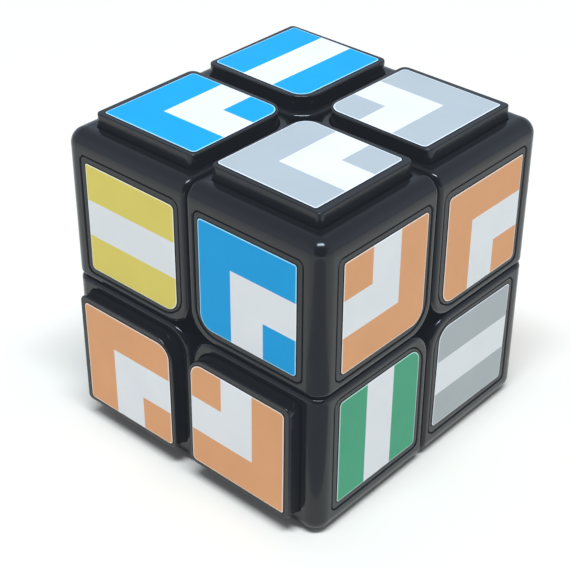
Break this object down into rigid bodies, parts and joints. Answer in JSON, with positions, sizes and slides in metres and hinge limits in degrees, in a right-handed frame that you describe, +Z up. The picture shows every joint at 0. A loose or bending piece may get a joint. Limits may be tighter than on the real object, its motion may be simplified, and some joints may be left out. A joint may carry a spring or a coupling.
{
  "type": "twisty puzzle cube",
  "caption": "Cube-shaped turning puzzle of corner cubies on a hidden spring-loaded core, with raised and flush tiles carrying coloured stickers crossed by white paths.",
  "frame": {"origin": "middle of the cube's bottom face, on the surface that it rests on", "axes": "+Z up; -Y is the front face and +X the right face; Y is the longest extent, across the thick tiles of the lower cubies"},
  "size_m": [0.05, 0.0546, 0.0523],
  "materials": {
    "cap_plastic": "satin injection-moulded black",
    "base_plastic": "satin injection-moulded black",
    "tile_plastic": "satin injection-moulded black",
    "mechanism_plastic": "plain moulded black",
    "screw_steel": "zinc plated",
    "spring_steel": "drawn wire",
    "vinyl_grey": "printed vinyl",
    "vinyl_blue": "printed vinyl",
    "vinyl_orange": "printed vinyl",
    "vinyl_red": "printed vinyl",
    "vinyl_yellow": "printed vinyl",
    "vinyl_green": "printed vinyl",
    "vinyl_white": "printed vinyl"
  },
  "bodies": {
    "core": {"core": "mechanism_plastic", "tension_screws": "screw_steel", "tension_springs": "spring_steel", "tension_washers": "screw_steel", "back_left_edge": "mechanism_plastic", "left_bottom_edge": "mechanism_plastic", "back_bottom_edge": "mechanism_plastic", "back_left_bottom_base": "base_plastic", "back_left_bottom_cap": "cap_plastic", "back_left_bottom_raised_tile": "tile_plastic", "back_left_bottom_flush_tiles": "tile_plastic", "back_left_bottom_stickers": "vinyl_red"},
    "right_layer": {"right_centre": "mechanism_plastic", "right_back_edge": "mechanism_plastic", "right_bottom_edge": "mechanism_plastic", "back_right_bottom_base": "base_plastic", "back_right_bottom_cap": "cap_plastic", "back_right_bottom_raised_tile": "tile_plastic", "back_right_bottom_flush_tiles": "tile_plastic", "back_right_bottom_stickers": "vinyl_red"},
    "front_layer": {"front_centre": "mechanism_plastic", "front_left_edge": "mechanism_plastic", "front_bottom_edge": "mechanism_plastic", "front_left_bottom_base": "base_plastic", "front_left_bottom_cap": "cap_plastic", "front_left_bottom_raised_tile": "tile_plastic", "front_left_bottom_flush_tiles": "tile_plastic", "front_left_bottom_stickers": "vinyl_orange"},
    "top_layer": {"top_centre": "mechanism_plastic", "top_left_edge": "mechanism_plastic", "top_back_edge": "mechanism_plastic", "back_left_top_base": "base_plastic", "back_left_top_cap": "cap_plastic", "back_left_top_raised_tile": "tile_plastic", "back_left_top_flush_tiles": "tile_plastic", "back_left_top_stickers": "vinyl_blue"},
    "front_right": {"front_right_edge": "mechanism_plastic", "front_right_bottom_base": "base_plastic", "front_right_bottom_cap": "cap_plastic", "front_right_bottom_raised_tile": "tile_plastic", "front_right_bottom_flush_tiles": "tile_plastic", "front_right_bottom_stickers": "vinyl_orange"},
    "top_right": {"top_right_edge": "mechanism_plastic", "back_right_top_base": "base_plastic", "back_right_top_cap": "cap_plastic", "back_right_top_raised_tile": "tile_plastic", "back_right_top_flush_tiles": "tile_plastic", "back_right_top_stickers": "vinyl_grey"},
    "top_front": {"top_front_edge": "mechanism_plastic", "front_left_top_base": "base_plastic", "front_left_top_cap": "cap_plastic", "front_left_top_raised_tile": "tile_plastic", "front_left_top_flush_tiles": "tile_plastic", "front_left_top_stickers": "vinyl_blue"},
    "top_front_right": {"front_right_top_base": "base_plastic", "front_right_top_cap": "cap_plastic", "front_right_top_raised_tile": "tile_plastic", "front_right_top_flush_tiles": "tile_plastic", "front_right_top_stickers": "vinyl_grey"}
  },
  "joints": [
    {"name": "top_turn", "type": "hinge", "parent": "core", "child": "top_layer", "pos_m": [0, 0, 0.025], "axis": [0, 0, 1], "continuous": true},
    {"name": "right_turn", "type": "hinge", "parent": "core", "child": "right_layer", "pos_m": [0, 0, 0.025], "axis": [1, 0, 0], "range_deg": [-360, 360]},
    {"name": "front_turn", "type": "hinge", "parent": "core", "child": "front_layer", "pos_m": [0, 0, 0.025], "axis": [0, -1, 0], "range_deg": [-360, 360]},
    {"name": "front_right_with_right", "type": "hinge", "parent": "front_layer", "child": "front_right", "pos_m": [0, 0, 0.025], "axis": [1, 0, 0], "range_deg": [-360, 360]},
    {"name": "top_right_with_right", "type": "hinge", "parent": "top_layer", "child": "top_right", "pos_m": [0, 0, 0.025], "axis": [1, 0, 0], "range_deg": [-360, 360]},
    {"name": "top_front_with_front", "type": "hinge", "parent": "top_layer", "child": "top_front", "pos_m": [0, 0, 0.025], "axis": [0, -1, 0], "range_deg": [-360, 360]},
    {"name": "top_front_right_with_right", "type": "hinge", "parent": "top_front", "child": "top_front_right", "pos_m": [0, 0, 0.025], "axis": [1, 0, 0], "range_deg": [-360, 360]}
  ],
  "couplings": [
    {"joint": "front_right_with_right", "follows": "right_turn", "ratio": 1},
    {"joint": "top_right_with_right", "follows": "right_turn", "ratio": 1},
    {"joint": "top_front_with_front", "follows": "front_turn", "ratio": 1},
    {"joint": "top_front_right_with_right", "follows": "right_turn", "ratio": 1}
  ]
}
